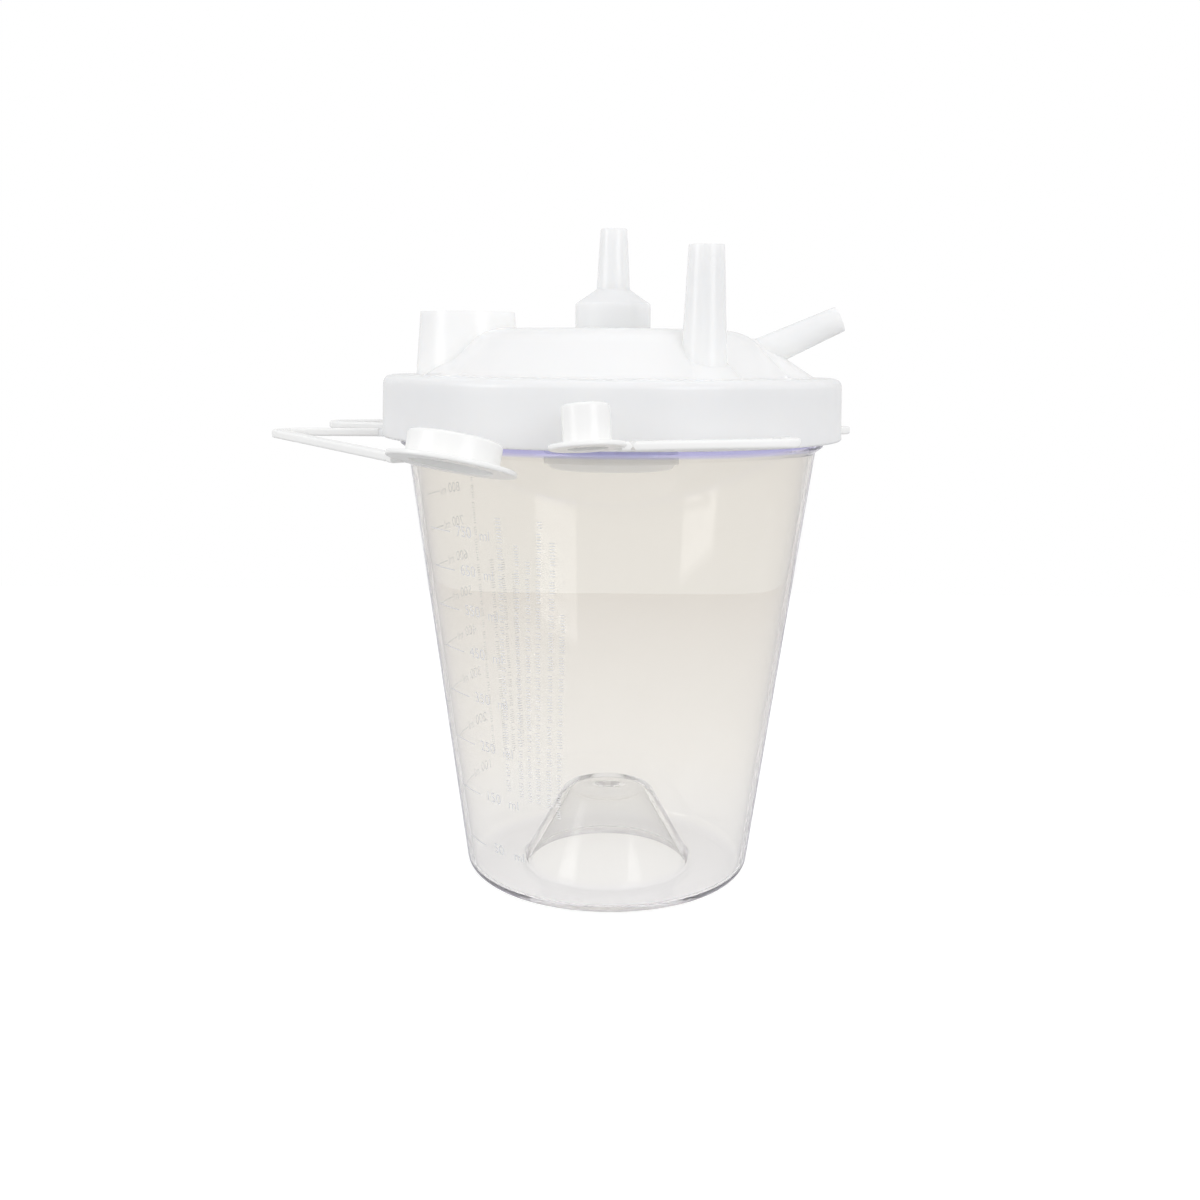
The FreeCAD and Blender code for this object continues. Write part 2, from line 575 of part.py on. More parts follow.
def cap_body(name):
    """Cap with its ear, tilted as it hangs on its strap."""
    strap = STRAPS[name]
    if name == "pour":
        wall_r = POUR_BORE_R - POUR_CAP_CLEARANCE
        hollow_r = wall_r - POUR_CAP_WALL
        outline = cap_outline(POUR_CAP_FLANGE_R, wall_r, hollow_r, POUR_CAP_HEIGHT, POUR_CAP_WALL)
    else:
        tips = {"patient": PATIENT_TIP_R, "vacuum": VACUUM_TIP_R, "tandem": TANDEM_TIP_R}
        hollow_r = tips[name] + SMALL_CAP_CLEARANCE
        wall_r = hollow_r + SMALL_CAP_WALL
        outline = cap_outline(SMALL_FLANGE_R, wall_r, hollow_r, SMALL_CAP_HEIGHT, SMALL_CAP_WALL)
    body = turned(outline)
    body.translate(Vector(0, 0, -CAP_FLANGE / 2))

    notch, direction, across = notch_frame(name)[1:]
    chord = math.sqrt(flange_r(name) ** 2 - strap["left"] ** 2)
    body.translate(Vector(chord + EAR_LENGTH, strap["left"], 0))
    body.rotate(Vector(0, 0, 0), Vector(1, 0, 0), strap["roll"])
    body.rotate(Vector(0, 0, 0), Vector(0, 1, 0), -strap["rise"])
    level = Vector(direction.x, direction.y, 0).normalize()
    hang = Placement(notch, Rotation(level, across, Vector(0, 0, 1), "XYZ"))
    body.Placement = hang.multiply(body.Placement)

    ear = bar(notch + direction * (NOTCH_GAP / 2), direction, across, EAR_LENGTH + EAR_ROOT, EAR_WIDTH)
    return body.fuse(ear.cut(notch_tool(notch, direction, across, 1)))


def main():
    os.makedirs("parts", exist_ok=True)
    parts = {
        "canister": canister(),
        "lid": lid(),
        "float_cage": float_cage(),
        "float": float_body(),
        "float_seal": float_seal(),
    }
    for name in STRAPS:
        parts[name + "_strap"] = strap_body(name)
        parts[name + "_cap"] = cap_body(name)
    for node, shape in parts.items():
        solids = shape.Solids
        print(node, "solids", len(solids), "valid", shape.isValid(), "volume", round(shape.Volume, 1))
        shape.exportStep("parts/" + node + ".step")


main()
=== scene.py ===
import json
import math
import random

import bpy
from mathutils import Matrix, Vector


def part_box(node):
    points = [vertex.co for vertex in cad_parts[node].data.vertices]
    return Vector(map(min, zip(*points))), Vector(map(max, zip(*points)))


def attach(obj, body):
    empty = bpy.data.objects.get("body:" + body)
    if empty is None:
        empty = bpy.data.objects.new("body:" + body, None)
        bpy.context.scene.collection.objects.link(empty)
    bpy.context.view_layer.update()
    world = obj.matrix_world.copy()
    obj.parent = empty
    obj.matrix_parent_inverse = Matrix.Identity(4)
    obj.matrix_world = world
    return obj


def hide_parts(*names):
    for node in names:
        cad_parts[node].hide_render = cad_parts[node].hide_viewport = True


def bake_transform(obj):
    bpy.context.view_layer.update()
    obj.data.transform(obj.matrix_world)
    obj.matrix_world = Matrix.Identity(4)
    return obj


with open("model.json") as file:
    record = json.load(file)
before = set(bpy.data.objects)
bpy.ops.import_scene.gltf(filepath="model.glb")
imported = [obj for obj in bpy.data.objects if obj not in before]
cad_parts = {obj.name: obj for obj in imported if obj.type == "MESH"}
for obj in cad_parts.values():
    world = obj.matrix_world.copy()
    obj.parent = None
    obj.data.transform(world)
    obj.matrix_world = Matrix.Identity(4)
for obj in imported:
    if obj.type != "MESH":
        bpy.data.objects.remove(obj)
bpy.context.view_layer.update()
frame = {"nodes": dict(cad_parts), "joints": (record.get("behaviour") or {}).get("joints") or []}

# Suction canister: clear cup with printed graduations, white lid with ports, caps on straps, float valve.
# Metres. Sizes that the part also has are its own, so that each dressed piece lies where its solid is.

MM = 0.001

# Cup, as in the part
CUP_BASE_R = 43.31 * MM
CUP_TAPER = 0.1318
CUP_WALL = 1.6 * MM
CUP_FLOOR = 1.8 * MM
CUP_FOOT_ROUND = 5.0 * MM
CUP_HEIGHT = 149.6 * MM
COLLAR_Z = 131.0 * MM
COLLAR_STEP = 2.2 * MM
COLLAR_RISE = 1.6 * MM
COLLAR_DRAFT = 0.02
RIM_LIP = 1.5 * MM
RIM_LIP_HEIGHT = 2.2 * MM
KICK_BASE_R = 26.4 * MM
KICK_TOP_R = 13.3 * MM
KICK_HEIGHT = 25.4 * MM
KICK_ROUND = 3.0 * MM
GATE_R = 1.5 * MM
GATE_DEPTH = 0.7 * MM
CUP_STEPS = 256             # faces round the cup
ROUND_STEPS = 8             # faces across each of its roundings
CUP_SHARP = 40.0            # degrees, an edge sharper than this stays sharp
CUP_WELD = 0.001 * MM       # vertices nearer than this are one

# Pieces that copy a solid
LEDGE_Z = 152.3 * MM        # the lid's level ledge round its dome
SOLID_SHARP = 35.0
SOLID_WELD = 0.002 * MM

# Print on the cup
INK_LIFT = 0.04 * MM        # print stands this far off the wall
TICK_LENGTH = 12.0 * MM
TICK_WIDTH = 0.32 * MM
TICK_CUTS = 6               # lets the tick follow the wall's curve
FIGURE_SIZE = 4.4 * MM
FIGURE_LIFT = 0.4 * MM      # figures sit this much higher than their tick
UNIT_SHARE = 0.9            # size of the unit beside its figures
# Azimuth of the figures in degrees round the cup, 0 towards +X; unit and tick lie so far to their right,
# or to their left where negative
HUNDREDS = dict(figure=151.0, unit=6.9 * MM, tick=15.4 * MM)
FIFTIES = dict(figure=-134.4, unit=8.0 * MM, tick=-12.1 * MM)
# Height in millimetres of the mark for each volume in cubic centimetres; 0 isn't printed, 50 leans on it
MARKS = {0: 7.0, 100: 23.7, 200: 39.5, 300: 54.8, 400: 68.8, 500: 81.6, 600: 93.4, 700: 104.5,
         800: 115.4}
MARK_STEP = 100             # in each of the two columns, whose marks alternate
# Small print as rows of plain strokes, which run upwards: azimuth in degrees at SMALL_PRINT_TOP, lowest and
# highest z and width in millimetres
SMALL_PRINT_TOP = 104.0
SMALL_PRINT = (
    (-121.7, 36, 114, 1.8), (-116.3, 35, 108, 1.5), (-112.9, 34, 101, 1.5), (-109.7, 34, 115, 1.6),
    (-105.8, 33, 109, 1.6), (-102.4, 30, 88, 1.5), (142.0, 28, 119, 1.3), (135.4, 27, 86, 1.7),
    (130.4, 26, 90, 1.6), (125.9, 27, 84, 1.7),
)
# Degrees that a row drifts for each millimetre down, beside each column of figures
LEAN_BY_FIFTIES = -4.4 / 68
LEAN_BY_HUNDREDS = 2.2 / 68
STROKE_WIDTH = 0.26 * MM
LETTERS = (2, 9)            # fewest and most strokes in a word
LETTER_PITCH = (0.7, 0.85)  # millimetres
LETTER_HEIGHT = (0.75, 1.0)  # share of the row's width
WORD_GAP = 0.9 * MM

# Straps
ROOT_GAP = 0.3 * MM         # lug to strap in the part
ROOT_SUNK = 0.6 * MM        # how far the strap runs into its lug
ROOT_REACH = 4.0 * MM       # the strap's root face lies within this distance of its joint
ROOT_DEPTH = 0.05 * MM      # and within this depth
FLEX_START = 1.5 * MM       # the cuts begin here, where the strap would twist, measured slantwise from its root
FLEX_LENGTH = 6.6 * MM      # over this length
FLEX_PARTS = 12             # short lengths that it's cut into there
WEB_LENGTH = 0.9 * MM
WEB_WIDTH = 3.4 * MM
WEB_THICKNESS = 0.36 * MM
WEB_PARTS = 10              # its length in parts
WEB_CUTS = 3                # parts on each side of the notch that are cut, where the web would bend

# Camera that fits the photograph
CAMERA_PLACE = (-2.99 * MM, -402.7 * MM, 158.0 * MM)
CAMERA_TILT = 10.36         # degrees below level
CAMERA_ROLL = 0.58
CAMERA_LENS = 39.97         # millimetres
CAMERA_SENSOR = 36.0

# Table top
TABLE_SIZE = (8.0, 4.5)
TABLE_DROP = 0.1 * MM       # keeps it clear of the cup's foot
TABLE_EDGE = 0.49           # it ends this far behind the cup's axis
TABLE_NEAR = -0.05          # its colours run from here to that edge
# What the cup shows of it, painted light that is warm grey and darkens towards the table's edge, and what
# the camera sees, which is the same all over
PAINTED_LIGHT_THROUGH_CUP = ((0.0, "#F0EFEE"), (0.07, "#E9E8E6"), (0.16, "#E2E0DD"), (0.3, "#E3DFD9"), (1.0, "#CFC9C1"))
TO_THE_EYE = ((0.0, "#F1F1F1"), (1.0, "#F1F1F1"))

LAMP_AIM = (0.0, 0.0, 0.1)  # a point on the cup's axis that all softboxes face
UP = Vector((0, 0, 1))
joints = {joint["name"]: joint for joint in frame["joints"]}
STRAPS = ("pour", "patient", "vacuum", "tandem")


def deselect():
    bpy.ops.object.select_all(action="DESELECT")


def activate(piece):
    deselect()
    piece.select_set(True)
    bpy.context.view_layer.objects.active = piece


def on_circle(radius, azimuth, z=0.0):
    angle = math.radians(azimuth)
    return Vector((radius * math.cos(angle), radius * math.sin(angle), z))


def cup_outer(z):
    """Outer radius of the cup's wall at a height."""
    return CUP_BASE_R + CUP_TAPER * z


# Materials

def linear(code):
    """sRGB hex colour as linear values."""
    values = [int(code[i:i + 2], 16) / 255 for i in (1, 3, 5)]
    return [v / 12.92 if v <= 0.04045 else ((v + 0.055) / 1.055) ** 2.4 for v in values] + [1.0]


def add(tree, kind, settings=None, links=None):
    """Adds a node, sets its properties and sockets, and links its inputs."""
    node = tree.nodes.new(kind)
    for key, value in (settings or {}).items():
        if hasattr(node, key):
            setattr(node, key, value)
        else:
            node.inputs[key].default_value = value
    for key, source in (links or {}).items():
        tree.links.new(source, node.inputs[key])
    return node


def new_material(name):
    material = bpy.data.materials.new(name)
    material.use_nodes = True
    material.node_tree.nodes.clear()
    return material, material.node_tree


def colour_run(tree, value, codes):
    """Colour that runs through hex codes at positions from 0 to 1."""
    node = add(tree, "ShaderNodeValToRGB", {}, {"Fac": value})
    ramp = node.color_ramp
    ramp.elements[0].position, ramp.elements[0].color = codes[0][0], linear(codes[0][1])
    ramp.elements[1].position, ramp.elements[1].color = codes[-1][0], linear(codes[-1][1])
    for position, code in codes[1:-1]:
        ramp.elements.new(position).color = linear(code)
    return node.outputs["Color"]


def clear_polystyrene():
    """General purpose polystyrene, injection moulded against a polished tool: water clear, with a violet
    blueing dye that shows only where light runs far through it, and slow waves along the flow.
    Its IOR is 1.59, but that draws hard dark outlines on a wall this thin, so the wall bends light less,
    a coat gives the gloss and a sheen the pale edges. The violet line at the collar's corner, where one
    looks along the wall, is painted light: a violet band in the colour that stands in for light run along
    the dyed wall and lifts the shade under the lid."""
    material, tree = new_material("clear_polystyrene")
    place = add(tree, "ShaderNodeTexCoord").outputs["Object"]
    # A wave every 11 mm round the cup and every 110 mm up it
    stretched = add(tree, "ShaderNodeMapping", {"Scale": (90.0, 90.0, 9.0)}, {"Vector": place})
    waves = add(tree, "ShaderNodeTexNoise", {"Scale": 1.0, "Detail": 1.0, "Roughness": 0.4},
                {"Vector": stretched.outputs["Vector"]})
    bump = add(tree, "ShaderNodeBump", {"Strength": 0.15, "Distance": 0.3 * MM},
               {"Height": waves.outputs["Fac"]})
    height = add(tree, "ShaderNodeSeparateXYZ", {}, {"Vector": place}).outputs["Z"]
    share = add(tree, "ShaderNodeMapRange", {"From Min": 0.0, "From Max": CUP_HEIGHT}, {"Value": height})
    # Painted light: the violet band from 0.888 to 0.900 of the height, at the collar, stands in for light
    # run along the dyed wall
    tint = colour_run(tree, share.outputs["Result"], (
        (0.0, "#FCFCFF"), (0.02, "#FFFFFF"), (0.3, "#FCFCFB"), (0.884, "#FAF9F7"), (0.888, "#CBCBFC"),
        (0.900, "#CBCBFC"), (0.904, "#F7F6F5"), (1.0, "#F6F4F1")))
    shader = add(tree, "ShaderNodeBsdfPrincipled",
                 {"Roughness": 0.02, "IOR": 1.1, "Transmission Weight": 0.94, "Coat Weight": 0.6,
                  "Coat Roughness": 0.02, "Coat IOR": 1.5, "Sheen Weight": 0.8, "Sheen Roughness": 0.25,
                  "Sheen Tint": linear("#F4F3FF")},
                 {"Base Color": tint, "Normal": bump.outputs["Normal"]})
    dye = add(tree, "ShaderNodeVolumeAbsorption", {"Color": linear("#C4C2F4"), "Density": 2.0})
    add(tree, "ShaderNodeOutputMaterial", {},
        {"Surface": shader.outputs["BSDF"], "Volume": dye.outputs["Volume"]})
    return material


def white_polyethylene(name, code="#FDFDFB", roughness=0.24, milk=0.6, skirt=None):
    """High density polyethylene, injection moulded: milky white that lets a little light in, a semi-gloss
    skin with faint orange peel about 1 mm across, and flow clouds about 17 mm across that show only as
    roughness. The milk is the share of light that goes in. The valve's polypropylene differs in tint and
    gloss alone. A lid's skirt, below its ledge, gets painted shade: a greyer white that stands in for the
    lesser light on its upright face."""
    material, tree = new_material(name)
    place = add(tree, "ShaderNodeTexCoord").outputs["Object"]
    clouds = add(tree, "ShaderNodeTexNoise", {"Scale": 60.0, "Detail": 2.0}, {"Vector": place})
    gloss = add(tree, "ShaderNodeMapRange", {"To Min": roughness - 0.04, "To Max": roughness + 0.06},
                {"Value": clouds.outputs["Fac"]})
    peel = add(tree, "ShaderNodeTexNoise", {"Scale": 900.0, "Detail": 1.0}, {"Vector": place})
    bump = add(tree, "ShaderNodeBump", {"Strength": 0.06, "Distance": 0.05 * MM},
               {"Height": peel.outputs["Fac"]})
    shader = add(tree, "ShaderNodeBsdfPrincipled",
                 {"Base Color": linear(code), "IOR": 1.53, "Subsurface Weight": milk,
                  "Subsurface Radius": (5.0, 4.7, 4.4), "Subsurface Scale": MM},
                 {"Roughness": gloss.outputs["Result"], "Normal": bump.outputs["Normal"]})
    # Painted shade: below the ledge the colour runs to a greyer white, for the lesser light on the skirt's
    # upright face
    if skirt:
        height = add(tree, "ShaderNodeSeparateXYZ", {}, {"Vector": place}).outputs["Z"]
        share = add(tree, "ShaderNodeMapRange", {"From Min": LEDGE_Z - 2 * MM, "From Max": LEDGE_Z},
                    {"Value": height})
        painted_skirt_shade = colour_run(tree, share.outputs["Result"], ((0.0, skirt), (1.0, code)))
        tree.links.new(painted_skirt_shade, shader.inputs["Base Color"])
    add(tree, "ShaderNodeOutputMaterial", {}, {"Surface": shader.outputs["BSDF"]})
    return material


def printing_ink():
    """Screen printed pale grey ink: a thin, dry, matt film, with patches about 0.7 mm across."""
    material, tree = new_material("pale_grey_ink")
    place = add(tree, "ShaderNodeTexCoord").outputs["Object"]
    patches = add(tree, "ShaderNodeTexNoise", {"Scale": 1500.0, "Detail": 2.0}, {"Vector": place})
    colour = add(tree, "ShaderNodeMix", {"data_type": "RGBA"}, {"Factor": patches.outputs["Fac"]})
    for socket, code in (("A", "#D9DDE7"), ("B", "#E5E8EF")):
        for inlet in (s for s in colour.inputs if s.name == socket and s.type == "RGBA"):
            inlet.default_value = linear(code)
    mixed = next(s for s in colour.outputs if s.type == "RGBA")
    shader = add(tree, "ShaderNodeBsdfPrincipled", {"Roughness": 0.6, "Alpha": 0.5}, {"Base Color": mixed})
    add(tree, "ShaderNodeOutputMaterial", {}, {"Surface": shader.outputs["BSDF"]})
    return material


def moulded_rubber():
    """Compression moulded rubber: dark, matt, with a grain of 0.4 mm."""
    material, tree = new_material("moulded_rubber")
    place = add(tree, "ShaderNodeTexCoord").outputs["Object"]
    grain = add(tree, "ShaderNodeTexNoise", {"Scale": 2500.0, "Detail": 2.0}, {"Vector": place})
    bump = add(tree, "ShaderNodeBump", {"Strength": 0.2, "Distance": 0.05 * MM},
               {"Height": grain.outputs["Fac"]})
    shader = add(tree, "ShaderNodeBsdfPrincipled", {"Base Color": linear("#3A3A3C"), "Roughness": 0.65},
                 {"Normal": bump.outputs["Normal"]})
    add(tree, "ShaderNodeOutputMaterial", {}, {"Surface": shader.outputs["BSDF"]})
    return material


def dress(piece, material):
    piece.data.materials.clear()
    piece.data.materials.append(material)


# Modelling

def turned(name, corners):
    """Closed shell turned about the vertical axis from corners (radius, z, rounding). A plane merged into
    one vertex is drawn out along them."""
    bpy.ops.mesh.primitive_plane_add(size=MM)
    piece = bpy.context.object
    piece.name = name
    bpy.ops.object.mode_set(mode="EDIT")
    bpy.ops.mesh.merge(type="CENTER")
    bpy.ops.transform.translate(value=(corners[0][0], 0, corners[0][1]))
    for before, after in zip(corners, corners[1:]):
        step = (after[0] - before[0], 0, after[1] - before[1])
        bpy.ops.mesh.extrude_vertices_move(TRANSFORM_OT_translate={"value": step})
    for before, here, after in zip(corners, corners[1:], corners[2:]):
        if here[2] <= 0:
            continue
        place = Vector((here[0], 0, here[1]))
        towards = [Vector((end[0], 0, end[1])) - place for end in (before, after)]
        half = towards[0].angle(towards[1]) / 2
        select_vertices(piece, lambda co: (co - place).length < CUP_WELD)
        bpy.ops.mesh.bevel(affect="VERTICES", offset=here[2] / math.tan(half), segments=ROUND_STEPS)
    bpy.ops.mesh.select_all(action="SELECT")
    bpy.ops.mesh.spin(steps=CUP_STEPS, angle=2 * math.pi, center=(0, 0, 0), axis=(0, 0, 1))
    bpy.ops.mesh.select_all(action="SELECT")
    bpy.ops.mesh.remove_doubles(threshold=CUP_WELD)
    bpy.ops.mesh.normals_make_consistent(inside=False)
    bpy.ops.object.mode_set(mode="OBJECT")
    activate(piece)
    bpy.ops.object.shade_smooth_by_angle(angle=math.radians(CUP_SHARP))
    return piece


def select_vertices(piece, wanted):
    """In edit mode, selects the vertices whose place passes a test."""
    bpy.ops.mesh.select_mode(type="VERT")
    bpy.ops.mesh.select_all(action="DESELECT")
    bpy.ops.object.mode_set(mode="OBJECT")
    for vertex in piece.data.vertices:
        vertex.select = wanted(vertex.co)
    bpy.ops.object.mode_set(mode="EDIT")


def merged_copy(node, name):
    """The node's solid as one welded, smooth shaded mesh that stands for it."""
    piece = bpy.data.objects.new(name, frame["nodes"][node].data.copy())
    bpy.context.scene.collection.objects.link(piece)
    activate(piece)
    bpy.ops.mesh.customdata_custom_splitnormals_clear()
    bpy.ops.object.mode_set(mode="EDIT")
    bpy.ops.mesh.select_all(action="SELECT")
    bpy.ops.mesh.remove_doubles(threshold=SOLID_WELD)
    bpy.ops.object.mode_set(mode="OBJECT")
    bpy.ops.object.shade_smooth_by_angle(angle=math.radians(SOLID_SHARP))
    bpy.ops.object.modifier_add(type="WEIGHTED_NORMAL")
    piece.modifiers[-1].keep_sharp = True
    bpy.ops.object.modifier_apply(modifier=piece.modifiers[-1].name)
    return piece


def wrap(piece, azimuth, z):
    """Lays a flat mesh, x to the right and y up, on the cup's wall as seen from outside."""
    for vertex in piece.data.vertices:
        height = z + vertex.co.y
        turn = math.degrees(vertex.co.x / cup_outer(height))
        vertex.co = on_circle(cup_outer(height) + INK_LIFT, azimuth + turn, height)


# Pieces

def make_cup():
    """Cup from the middle of its underside, up the outer wall, over the rim and down the inner wall."""
    under = KICK_HEIGHT - CUP_FLOOR
    collar_r = cup_outer(COLLAR_Z) + COLLAR_STEP
    collar_top_r = collar_r + COLLAR_DRAFT * (CUP_HEIGHT - COLLAR_Z)
    rim_r = collar_top_r + RIM_LIP
    rim_z = CUP_HEIGHT - RIM_LIP_HEIGHT
    mouth_r = collar_top_r - CUP_WALL
    cup = turned("clear_cup", [
        (0, under + GATE_DEPTH, 0),
        (GATE_R, under, 0),
        (KICK_TOP_R - CUP_WALL, under, KICK_ROUND - 1.0 * MM),
        (KICK_BASE_R - CUP_WALL, 0, 1.0 * MM),
        (CUP_BASE_R, 0, CUP_FOOT_ROUND),
        (cup_outer(COLLAR_Z), COLLAR_Z, 0.8 * MM),
        (collar_r, COLLAR_Z + COLLAR_RISE, 0.6 * MM),
        (collar_top_r, rim_z, 0.4 * MM),
        (rim_r, rim_z, 0.6 * MM),
        (rim_r, CUP_HEIGHT, 0.8 * MM),
        (mouth_r, CUP_HEIGHT, 0.5 * MM),
        (collar_r - CUP_WALL, COLLAR_Z + COLLAR_RISE + CUP_WALL / 2, 0.8 * MM),
        (cup_outer(COLLAR_Z) - CUP_WALL, COLLAR_Z, 0.8 * MM),
        (cup_outer(CUP_FLOOR) - CUP_WALL, CUP_FLOOR, CUP_FOOT_ROUND - CUP_WALL),
        (KICK_BASE_R, CUP_FLOOR, KICK_ROUND),
        (KICK_TOP_R, KICK_HEIGHT, KICK_ROUND),
        (0, KICK_HEIGHT, 0),
    ])
    dress(cup, clear_polystyrene())
    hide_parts("canister")
    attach(cup, "canister")


def mark_z(volume):
    """Height of a volume's mark, halfway marks lying between their neighbours."""
    if volume in MARKS:
        return MARKS[volume] * MM
    return (MARKS[volume - MARK_STEP // 2] + MARKS[volume + MARK_STEP // 2]) / 2 * MM


def figure(text, azimuth, z, size=FIGURE_SIZE):
    """Printed figure, its middle at an azimuth and a height."""
    bpy.ops.object.text_add()
    label = bpy.context.object
    label.data.body = text
    label.data.size = size
    label.data.align_x = "CENTER"
    label.data.align_y = "CENTER"
    bpy.ops.object.convert(target="MESH")
    wrap(label, azimuth, z)
    return label


def bar(width, height, azimuth, z, cuts=0, count=1, pitch=0.0):
    """Printed bar, or a row of them one above the other, the lowest bar's middle at an azimuth and a
    height."""
    bpy.ops.mesh.primitive_plane_add(size=1.0)
    piece = bpy.context.object
    bpy.ops.object.mode_set(mode="EDIT")
    bpy.ops.transform.resize(value=(width, height, 1))
    if cuts:
        bpy.ops.mesh.subdivide(number_cuts=cuts)
    bpy.ops.object.mode_set(mode="OBJECT")
    if count > 1:
        bpy.ops.object.modifier_add(type="ARRAY")
        row = piece.modifiers[-1]
        row.count = count
        row.use_relative_offset = False
        row.use_constant_offset = True
        row.constant_offset_displace = (0, pitch, 0)
        bpy.ops.object.modifier_apply(modifier=row.name)
    wrap(piece, azimuth, z)
    return piece


def make_print():
    """Graduations as plain numbers and ticks, and rows of plain strokes where small print stands."""
    pieces = []
    for places, first in ((HUNDREDS, MARK_STEP), (FIFTIES, MARK_STEP // 2)):
        for volume in range(first, max(MARKS) + 1, MARK_STEP):
            z = mark_z(volume)
            pieces.append(figure(str(volume), places["figure"], z + FIGURE_LIFT))
            turn = math.degrees(1 / cup_outer(z))
            unit = places["figure"] + places["unit"] * turn
            tick = places["figure"] + places["tick"] * turn
            pieces.append(figure("ml", unit, z, FIGURE_SIZE * UNIT_SHARE))
            pieces.append(bar(TICK_LENGTH, TICK_WIDTH, tick, z, TICK_CUTS))
    draw = random.Random(8)
    for azimuth, low, high, width in SMALL_PRINT:
        lean = LEAN_BY_FIFTIES if azimuth < 0 else LEAN_BY_HUNDREDS
        z = low * MM
        while z < high * MM:
            letters = draw.randint(*LETTERS)
            pitch = draw.uniform(*LETTER_PITCH) * MM
            tall = draw.uniform(*LETTER_HEIGHT) * width * MM
            here = azimuth + lean * (SMALL_PRINT_TOP - z / MM)
            pieces.append(bar(tall, STROKE_WIDTH, here, z, 0, letters, pitch))
            z += letters * pitch + WORD_GAP
    deselect()
    for piece in pieces:
        piece.select_set(True)
    bpy.context.view_layer.objects.active = pieces[0]
    bpy.ops.object.join()
    ink = bpy.context.object
    ink.name = "printed_scale"
    dress(ink, printing_ink())
    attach(ink, "canister")


def make_lid():
    lid = merged_copy("lid", "white_lid")
    # The skirt's greyer white is painted shade
    dress(lid, white_polyethylene("lid_polyethylene", skirt="#F9F9F8"))
    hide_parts("lid")
    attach(lid, "lid")


def make_valve():
    """Cage under the lid, and the float with its seal inside."""
    for node, name, material, slot, body in (
            ("float_cage", "valve_cage", white_polyethylene("white_polypropylene", "#FCFAF4", 0.3),
             "cage_plastic", "lid"),
            ("float", "valve_float", white_polyethylene("satin_polypropylene", "#E2E4E6", 0.4),
             "float_plastic", "float"),
            ("float_seal", "valve_seal", moulded_rubber(), "seal_rubber", "float")):
        piece = merged_copy(node, name)
        dress(piece, material)
        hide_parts(node)
        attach(piece, body)


def place_of(joint):
    """Point and unit axis of a joint."""
    data = joints[joint]
    return Vector(data["pos_m"]), Vector(data["axis"]).normalized()


def make_strap(name, material):
    """Strap that runs into its lug, cut into short lengths where it twists."""
    root, twist = place_of(name + "_strap_flex")
    outward = Vector((root.x, root.y, 0)).normalized()
    slant = (outward + UP.cross(twist)).normalized()
    strap = merged_copy(name + "_strap", name + "_strap_moulding")
    bpy.ops.object.mode_set(mode="EDIT")
    select_vertices(strap, lambda co: (co - root).dot(outward) < ROOT_DEPTH
                    and (co - root).length < ROOT_REACH)
    bpy.ops.mesh.extrude_region_move(TRANSFORM_OT_translate={"value": outward * -(ROOT_SUNK + ROOT_GAP)})
    for i in range(FLEX_PARTS + 1):
        cut = root + slant * (FLEX_START + i * FLEX_LENGTH / FLEX_PARTS)
        bpy.ops.mesh.select_all(action="SELECT")
        bpy.ops.mesh.bisect(plane_co=cut, plane_no=slant)
    bpy.ops.object.mode_set(mode="OBJECT")
    dress(strap, material)
    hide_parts(name + "_strap")
    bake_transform(strap)


def make_web(name, material):
    """Thin web left at the notch, where the cap folds."""
    notch, fold = place_of(name + "_cap_fold")
    along = UP.cross(fold)
    end = next(v for v in (along, -along) if v.dot(centre_of(name + "_cap") - notch) > 0).normalized()
    up = end.cross(fold).normalized()
    bpy.ops.mesh.primitive_cube_add(size=1.0)
    web = bpy.context.object
    web.name = name + "_notch_web"
    bpy.ops.object.mode_set(mode="EDIT")
    bpy.ops.transform.resize(value=(WEB_LENGTH, WEB_WIDTH, WEB_THICKNESS))
    for i in range(-WEB_CUTS, WEB_CUTS + 1):
        bpy.ops.mesh.select_all(action="SELECT")
        bpy.ops.mesh.bisect(plane_co=(i * WEB_LENGTH / WEB_PARTS, 0, 0), plane_no=(1, 0, 0))
    bpy.ops.object.mode_set(mode="OBJECT")
    turn = Matrix((end, fold, up)).transposed()
    for vertex in web.data.vertices:
        vertex.co = notch + turn @ vertex.co
    if turn.determinant() < 0:
        web.data.flip_normals()
    bpy.ops.object.shade_smooth_by_angle(angle=math.radians(SOLID_SHARP))
    dress(web, material)
    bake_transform(web)


def centre_of(node):
    """Middle of a node's box."""
    low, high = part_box(node)
    return (Vector(low) + Vector(high)) / 2


def make_straps():
    material = white_polyethylene("strap_polyethylene", milk=0.1)
    for name in STRAPS:
        make_strap(name, material)
        make_web(name, material)
        cap = merged_copy(name + "_cap", name + "_cap_moulding")
        dress(cap, material)
        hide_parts(name + "_cap")
        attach(cap, name + "_cap")


# Setting

def ray_mix(tree, ray, other, shader):
    """The shader for rays of one kind, and the other for the rest."""
    path = add(tree, "ShaderNodeLightPath")
    mix = add(tree, "ShaderNodeMixShader", {}, {0: path.outputs[ray], 1: other, 2: shader})
    return mix.outputs["Shader"]


def glow(tree, codes, albedo):
    """Light whose colour runs back to the table's edge, with a diffuse share for shadows."""
    place = add(tree, "ShaderNodeTexCoord").outputs["Object"]
    depth = add(tree, "ShaderNodeSeparateXYZ", {}, {"Vector": place}).outputs["Y"]
    share = add(tree, "ShaderNodeMapRange", {"From Min": TABLE_NEAR, "From Max": TABLE_EDGE},
                {"Value": depth})
    light = add(tree, "ShaderNodeEmission", {}, {"Color": colour_run(tree, share.outputs["Result"], codes)})
    paper = add(tree, "ShaderNodeBsdfDiffuse", {"Color": linear(albedo)})
    both = add(tree, "ShaderNodeAddShader", {}, {0: light.outputs["Emission"], 1: paper.outputs["BSDF"]})
    return both.outputs["Shader"]


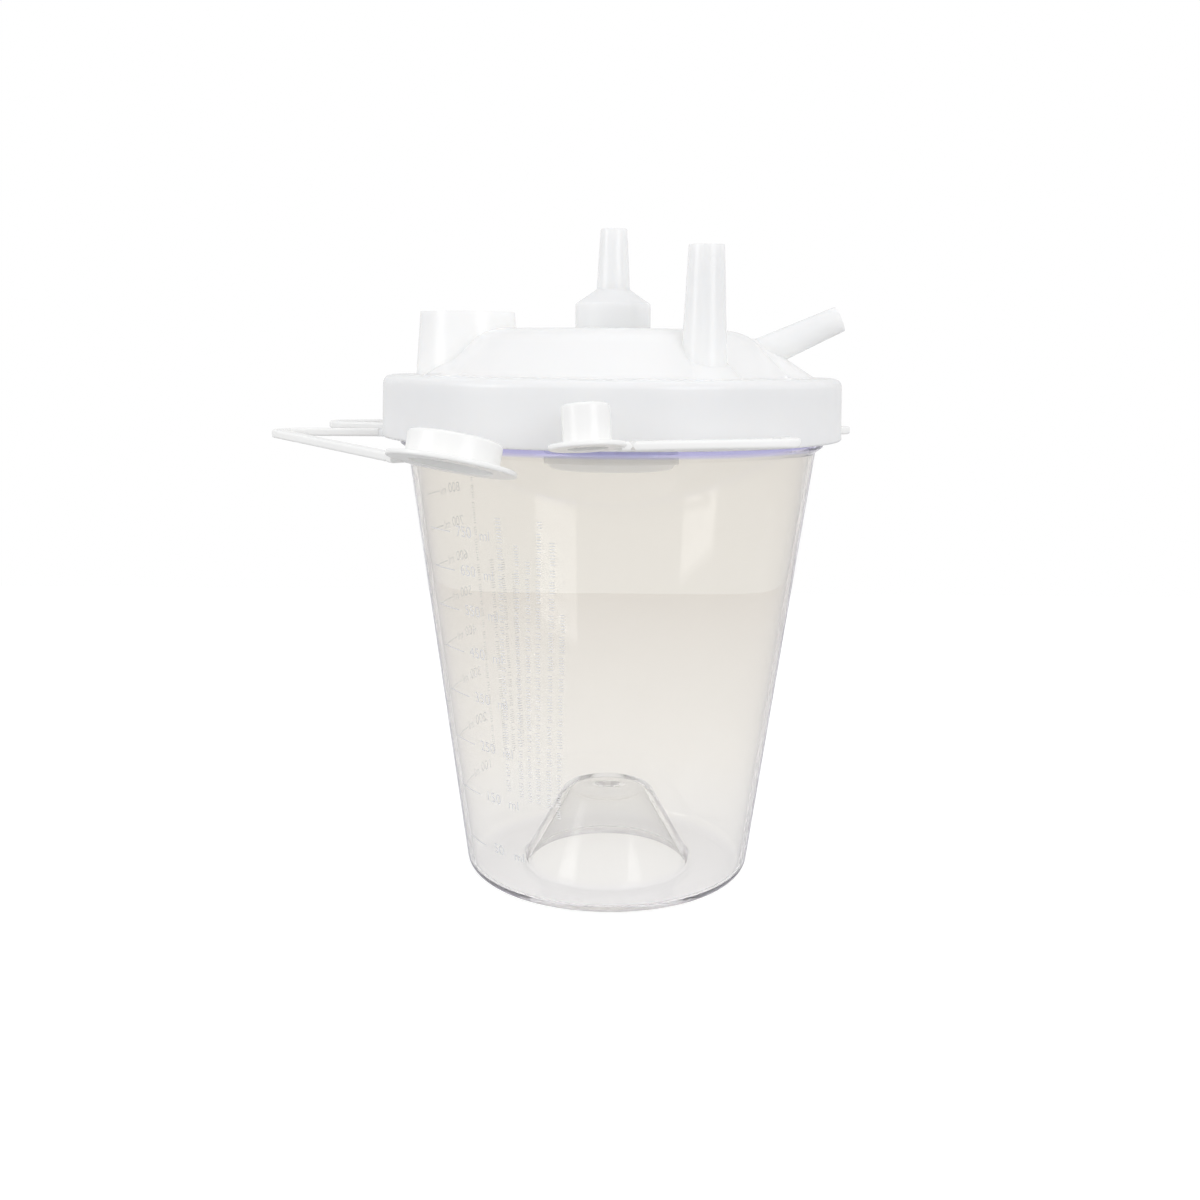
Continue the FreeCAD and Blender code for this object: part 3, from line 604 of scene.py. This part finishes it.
def make_stage():
    """Table top of white paper that reads white to the eye, and through the cup shows painted light, a warm
    grey that darkens towards its back edge.
    """
    bpy.ops.mesh.primitive_plane_add(size=1.0, location=(0, 0, -TABLE_DROP))
    floor = bpy.context.object
    floor.name = "floor"
    bpy.ops.object.mode_set(mode="EDIT")
    bpy.ops.transform.resize(value=(*TABLE_SIZE, 1))
    bpy.ops.transform.translate(value=(0, TABLE_EDGE - TABLE_SIZE[1] / 2, 0))
    bpy.ops.object.mode_set(mode="OBJECT")
    material, tree = new_material("white_paper")
    lit = add(tree, "ShaderNodeBsdfDiffuse", {"Color": linear("#CECECE")}).outputs["BSDF"]
    # Through the cup the table shows painted light, warm grey and darker towards its back edge
    lit = ray_mix(tree, "Is Transmission Ray", lit, glow(tree, PAINTED_LIGHT_THROUGH_CUP, "#7C7A78"))
    lit = ray_mix(tree, "Is Camera Ray", lit, glow(tree, TO_THE_EYE, "#858585"))
    add(tree, "ShaderNodeOutputMaterial", {}, {"Surface": lit})
    floor.data.materials.append(material)


def backdrop(tree, code, strength):
    shader = add(tree, "ShaderNodeBackground", {"Color": linear(code), "Strength": strength})
    return shader.outputs["Background"]


def make_light():
    """Even pale room, and three softboxes that aim at the cup."""
    world = bpy.data.worlds.new("studio")
    bpy.context.scene.world = world
    world.use_nodes = True
    tree = world.node_tree
    tree.nodes.clear()
    around = backdrop(tree, "#F8F8FA", 0.88)
    around = ray_mix(tree, "Is Glossy Ray", around, backdrop(tree, "#FFFFFF", 0.80))
    around = ray_mix(tree, "Is Transmission Ray", around, backdrop(tree, "#FFFBF4", 0.90))
    around = ray_mix(tree, "Is Camera Ray", around, backdrop(tree, "#FFFFFF", 1.0))
    add(tree, "ShaderNodeOutputWorld", {}, {"Surface": around})
    for name, place, size, watts in (
            ("right_softbox", (0.68, -0.87, 0.50), 0.6, 2.5),
            ("left_softbox", (-1.00, -0.50, 0.50), 0.5, 2.0),
            ("top_softbox", (0.1, 0.25, 1.2), 0.7, 0.5)):
        turn = (Vector(LAMP_AIM) - Vector(place)).to_track_quat("-Z", "Y")
        bpy.ops.object.light_add(type="AREA", location=place, rotation=turn.to_euler())
        lamp = bpy.context.object
        lamp.name = name
        lamp.data.shape = "SQUARE"
        lamp.data.size = size
        lamp.data.energy = watts


def make_camera():
    tilt = Matrix.Rotation(math.radians(90 - CAMERA_TILT), 3, "X")
    roll = Matrix.Rotation(math.radians(CAMERA_ROLL), 3, "Z")
    bpy.ops.object.camera_add(location=CAMERA_PLACE, rotation=(tilt @ roll).to_euler())
    camera = bpy.context.object
    camera.data.sensor_width = CAMERA_SENSOR
    camera.data.lens = CAMERA_LENS
    bpy.context.scene.camera = camera
    bpy.context.scene.view_settings.view_transform = "Standard"


# The frame comes with its nodes selected
deselect()
make_cup()
make_print()
make_lid()
make_valve()
make_straps()
make_stage()
make_light()
make_camera()
